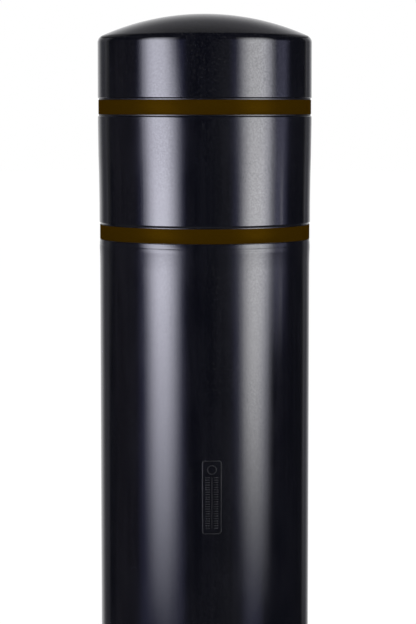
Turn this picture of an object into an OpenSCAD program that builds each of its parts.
// Bollard cover sleeve: a domed tube that drops over a steel post.
// Two reflective tapes lie in grooves round the head, and foam pads inside grip the post.
// Frame: origin on the ground at the tube's axis, +Z up, the blank panel faces -Y.
// Heights given as a drop are measured down from the top of the dome.

/* [Tube] */
// Overall height, from the ground to the top of the dome
sleeve_height = 1320.8; // [700:0.1:1830]
// Wall thickness of the tube and the dome
tube_wall = 4.75; // [4:0.05:7]
// Chamfer on both edges of the sawn lower rim
rim_chamfer = 0.6; // [0.2:0.1:1.5]

/* [Head] */
// Radius of the dome's outer sphere
dome_radius = 225; // [140:1:400]
// Radius of the rounded shoulder between the dome and the wall
shoulder_radius = 7; // [6:0.1:20]
// How much the crown above the upper groove stands out from the tube's radius
crown_swell = 1.5; // [0.5:0.05:3]
// How much the collar's upper end stands out from the tube's radius
collar_top_swell = 1.5; // [0.4:0.05:2.5]
// How much the collar's lower end stands out from the tube's radius
collar_base_swell = 0.45; // [0.2:0.05:2]
// How much the lip under the lower groove stands out from the tube's radius
lip_swell = 0.45; // [0.1:0.05:1.5]
// Drop at which the collar starts to narrow
collar_taper_start = 111; // [96:0.5:125]
// Drop at which the collar has narrowed
collar_taper_end = 153.5; // [130:0.5:178]

/* [Reflective bands] */
// Width of the reflective tape
tape_width = 12.7; // [8:0.1:18]
// Thickness of the tape's face film
tape_film = 0.35; // [0.2:0.05:0.6]
// Thickness of the adhesive under the tape
tape_adhesive = 0.15; // [0.05:0.05:0.3]
// Depth of the grooves that the tapes lie in
groove_depth = 1; // [0.6:0.05:1.5]
// Bare floor left above and below the tape in the upper groove
upper_margin = 1.3; // [0.5:0.1:2.5]
// Height of each sloping wall of the upper groove
upper_wall_run = 0.7; // [0.4:0.1:2]
// Bare floor left above the tape in the lower groove
lower_margin = 0.9; // [0.5:0.1:2.5]
// Height of the sloping wall above the lower groove
lower_wall_run = 1.4; // [0.4:0.1:2]
// Bare floor left below the tape in the lower groove
lip_margin = 0.3; // [0.1:0.1:1]
// Height of the short wall from the lower groove up to the level of the tape's face
lip_wall_run = 0.3; // [0.1:0.1:1]
// Height of the soft slope from that wall out to the lip
lip_rise = 5; // [1.5:0.1:8]
// Height over which the lip fades into the tube
lip_fade = 11.3; // [5:0.1:20]
// Drop to the middle of the upper tape
upper_band_drop = 82.3; // [70:0.1:86]
// Drop to the middle of the lower tape
lower_band_drop = 192.7; // [192:0.1:260]
// Gap between the tape's two ends, at the back
tape_seam_gap = 0.8; // [0.2:0.1:3]

/* [Foam pads] */
// Outside diameter of the steel post: the bore, and so the whole sleeve, follows it
post_diameter = 168.3; // [110:0.1:220]
// Radial clearance between the post and the pads
grip_clearance = 0.1; // [0:0.05:0.2]
// Thickness of the foam, squeezed between the bore and the post
pad_thickness = 4.45; // [2:0.05:15]
// Number of pads in each ring
pads_per_ring = 4; // [3:1:6]
// Width of a pad, round the bore
pad_width = 50.8; // [20:0.1:70]
// Height of a pad
pad_height = 152.4; // [60:0.1:200]
// Thickness of the adhesive behind a pad
pad_adhesive = 0.2; // [0.05:0.05:0.4]
// Bare bore between the head's lip and the top of the upper pads
upper_ring_gap = 20; // [5:1:60]
// Height of the lower pads above the ground
lower_ring_rise = 50; // [10:1:120]

/* [Blank panel] */
// Width of the raised panel frame
panel_width = 16.9; // [12:0.1:24]
// Height of the raised panel frame
panel_height = 64.4; // [62:0.1:100]
// Outside corner radius of the frame
panel_corner = 2.6; // [1.2:0.1:4]
// Width of the raised lines
panel_line = 0.9; // [0.5:0.1:1]
// How far the raised lines stand out from the tube
panel_relief = 0.35; // [0.15:0.05:0.8]
// Drop to the middle of the panel
panel_drop = 418; // [300:1:520]
// Turn of the panel to the right of the front, in degrees
panel_turn = 3.8; // [-30:0.1:30]
// Outside diameter of the blank dial
dial_diameter = 8.4; // [6:0.1:9]
// Gap from the frame's outer edge to the dial
dial_inset = 4; // [2:0.1:6]
// Width of the line that parts the two columns of bars
divider_width = 0.6; // [0.4:0.1:1]
// Length of the plain bars of the tally
bar_length = 3.8; // [2:0.1:4.2]
// Height of a bar
bar_height = 0.9; // [0.5:0.1:1.2]
// Distance from one bar to the next
bar_pitch = 2.1; // [1.6:0.1:2.1]
// Number of bars in each column
bar_count = 22; // [4:1:22]
// Distance between the middles of the two columns
bar_column_gap = 7.2; // [6:0.1:8]

/* [Hidden] */
$fn = 180;

// Steps of the arcs in the profile of the shell
SHOULDER_STEPS = 12;
DOME_STEPS = 24;
// Depth to which the raised lines are rooted in the wall
PANEL_ROOT = 1;
// Spare length of the shapes that are cut to the tube's surface
CUT_SPARE = 2;
// Direction of the tapes' seam: the back of the sleeve
SEAM_ANGLE = 90;

grip_r = post_diameter / 2 + grip_clearance;
pad_back_r = grip_r + pad_thickness;
bore_r = pad_back_r + pad_adhesive;
tube_r = bore_r + tube_wall;
crown_r = tube_r + crown_swell;
collar_top_r = tube_r + collar_top_swell;
collar_base_r = tube_r + collar_base_swell;
lip_r = tube_r + lip_swell;

upper_floor_r = min(crown_r, collar_top_r) - groove_depth;
lower_floor_r = min(collar_base_r, lip_r) - groove_depth;
upper_floor_half = tape_width / 2 + upper_margin;
upper_band_z = sleeve_height - upper_band_drop;
lower_band_z = sleeve_height - lower_band_drop;
lower_floor_top_z = lower_band_z + tape_width / 2 + lower_margin;
lower_floor_end_z = lower_band_z - tape_width / 2 - lip_margin;
taper_start_z = sleeve_height - collar_taper_start;
taper_end_z = sleeve_height - collar_taper_end;
lip_foot_r = min(lip_r, lower_floor_r + tape_adhesive + tape_film);
lip_foot_z = lower_floor_end_z - lip_wall_run;
lip_z = lip_foot_z - lip_rise;
lip_end_z = lip_z - lip_fade;

dome_z = sleeve_height - dome_radius;

pad_pitch = 360 / pads_per_ring;
upper_ring_z = lip_end_z - upper_ring_gap - pad_height;
lower_ring_z = lower_ring_rise;

panel_z = sleeve_height - panel_drop;
dial_z = panel_height / 2 - dial_inset - dial_diameter / 2;
tally_top_z = dial_z - dial_diameter / 2 - bar_pitch;
tally_height = (bar_count - 1) * bar_pitch + bar_height;

PAD_NUMBERS = [1:pads_per_ring];

PLASTIC_BLACK = [0.06, 0.06, 0.075];
TAPE_AMBER = [0.21, 0.14, 0.01];
ADHESIVE_SMOKY = [0.17, 0.16, 0.13];
FOAM_GREY = [0.17, 0.17, 0.18];

// Angle in degrees that a length takes up round a circle
function angle_of(length, radius) = length / radius * 180 / PI;

// Points along a circular arc
function arc(centre, radius, from, to, steps) =
    [for (i = [0:steps])
        let (a = from + (to - from) * i / steps)
        centre + radius * [cos(a), sin(a)]];

// Centre of the fillet that touches the wall and the dome from inside
function fillet_centre(wall_r, dome_r, fillet_r) =
    [wall_r - fillet_r, dome_z + sqrt(pow(dome_r - fillet_r, 2) - pow(wall_r - fillet_r, 2))];

// Shoulder and dome, from the top of the wall to the axis
function dome_points(wall_r, dome_r, fillet_r) =
    let (
        centre = fillet_centre(wall_r, dome_r, fillet_r),
        meet = atan2(centre[1] - dome_z, centre[0])
    )
    concat(
        arc(centre, fillet_r, 0, meet, SHOULDER_STEPS),
        arc([0, dome_z], dome_r, meet, 90, DOME_STEPS)
    );

// Outside of the shell, from the ground up to the axis
function outer_points() = concat(
    [[tube_r - rim_chamfer, 0], [tube_r, rim_chamfer]],
    [[tube_r, lip_end_z], [lip_r, lip_z], [lip_foot_r, lip_foot_z]],
    [[lower_floor_r, lower_floor_end_z], [lower_floor_r, lower_floor_top_z]],
    [[collar_base_r, lower_floor_top_z + lower_wall_run]],
    [[collar_base_r, taper_end_z], [collar_top_r, taper_start_z]],
    [[collar_top_r, upper_band_z - upper_floor_half - upper_wall_run]],
    [[upper_floor_r, upper_band_z - upper_floor_half], [upper_floor_r, upper_band_z + upper_floor_half]],
    [[crown_r, upper_band_z + upper_floor_half + upper_wall_run]],
    dome_points(crown_r, dome_radius, shoulder_radius)
);

// Inside of the shell, from the ground up to the axis: the wall follows the head's swelling
function inner_points() = concat(
    [[bore_r + rim_chamfer, 0], [bore_r, rim_chamfer], [bore_r, lip_end_z]],
    [[collar_base_r - tube_wall, lower_band_z], [collar_base_r - tube_wall, taper_end_z]],
    [[crown_r - tube_wall, taper_start_z]],
    dome_points(crown_r - tube_wall, dome_radius - tube_wall,
                max(shoulder_radius - tube_wall, rim_chamfer))
);

function reversed(points) = [for (i = [len(points) - 1:-1:0]) points[i]];

// Part of a ring between two radii, standing on z, spread evenly about a direction
module ring_part(inner_r, outer_r, z, height, span, direction) {
    rotate([0, 0, direction - span / 2])
        rotate_extrude(angle = span)
            translate([inner_r, z])
                square([outer_r - inner_r, height]);
}

module rounded_plate(width, height, corner) {
    square([width - 2 * corner, height], center = true);
    square([width, height - 2 * corner], center = true);
    for (x = [-1, 1], y = [-1, 1])
        translate([x * (width / 2 - corner), y * (height / 2 - corner)])
            circle(corner);
}

// Frame, blank dial and plain tally of the panel, drawn flat
module panel_lines() {
    difference() {
        rounded_plate(panel_width, panel_height, panel_corner);
        rounded_plate(panel_width - 2 * panel_line, panel_height - 2 * panel_line, panel_corner - panel_line);
    }
    translate([0, dial_z])
        difference() {
            circle(d = dial_diameter);
            circle(d = dial_diameter - 2 * panel_line);
        }
    translate([-divider_width / 2, tally_top_z - tally_height])
        square([divider_width, tally_height]);
    for (column = [-0.5, 0.5], row = [0:bar_count - 1])
        translate([column * bar_column_gap - bar_length / 2, tally_top_z - row * bar_pitch - bar_height])
            square([bar_length, bar_height]);
}

// The flat lines wrapped onto the tube: cut from a thin skin that is rooted in the wall
module raised_panel() {
    skin_height = panel_height + 2 * CUT_SPARE;
    translate([0, 0, panel_z])
        rotate([0, 0, panel_turn])
            intersection() {
                difference() {
                    cylinder(r = tube_r + panel_relief, h = skin_height, center = true);
                    cylinder(r = tube_r - PANEL_ROOT, h = skin_height + CUT_SPARE, center = true);
                }
                rotate([90, 0, 0])
                    linear_extrude(tube_r + CUT_SPARE)
                        panel_lines();
            }
}

module sleeve_shell() {
    color(PLASTIC_BLACK) {
        rotate_extrude()
            polygon(concat(outer_points(), reversed(inner_points())));
        raised_panel();
    }
}

module band_layer(inner_r, thickness, band_z) {
    seam = angle_of(tape_seam_gap, inner_r);
    ring_part(inner_r, inner_r + thickness, band_z - tape_width / 2, tape_width, 360 - seam, SEAM_ANGLE + 180);
}

module band_adhesive(floor_r, band_z) {
    color(ADHESIVE_SMOKY)
        band_layer(floor_r, tape_adhesive, band_z);
}

module reflective_band(floor_r, band_z) {
    color(TAPE_AMBER)
        band_layer(floor_r + tape_adhesive, tape_film, band_z);
}

function pad_direction(number) = pad_pitch * (number - 0.5);

module foam_pad(number, ring_z) {
    color(FOAM_GREY)
        ring_part(grip_r, pad_back_r, ring_z, pad_height, angle_of(pad_width, pad_back_r), pad_direction(number));
}

module foam_pad_adhesive(number, ring_z) {
    color(ADHESIVE_SMOKY)
        ring_part(pad_back_r, bore_r, ring_z, pad_height, angle_of(pad_width, pad_back_r), pad_direction(number));
}

sleeve_shell();
reflective_band(upper_floor_r, upper_band_z);  // upper_reflective_band
band_adhesive(upper_floor_r, upper_band_z);  // upper_band_adhesive
reflective_band(lower_floor_r, lower_band_z);  // lower_reflective_band
band_adhesive(lower_floor_r, lower_band_z);  // lower_band_adhesive
for (n = PAD_NUMBERS) {
    foam_pad(n, upper_ring_z);
    foam_pad_adhesive(n, upper_ring_z);
    foam_pad(n, lower_ring_z);
    foam_pad_adhesive(n, lower_ring_z);
}
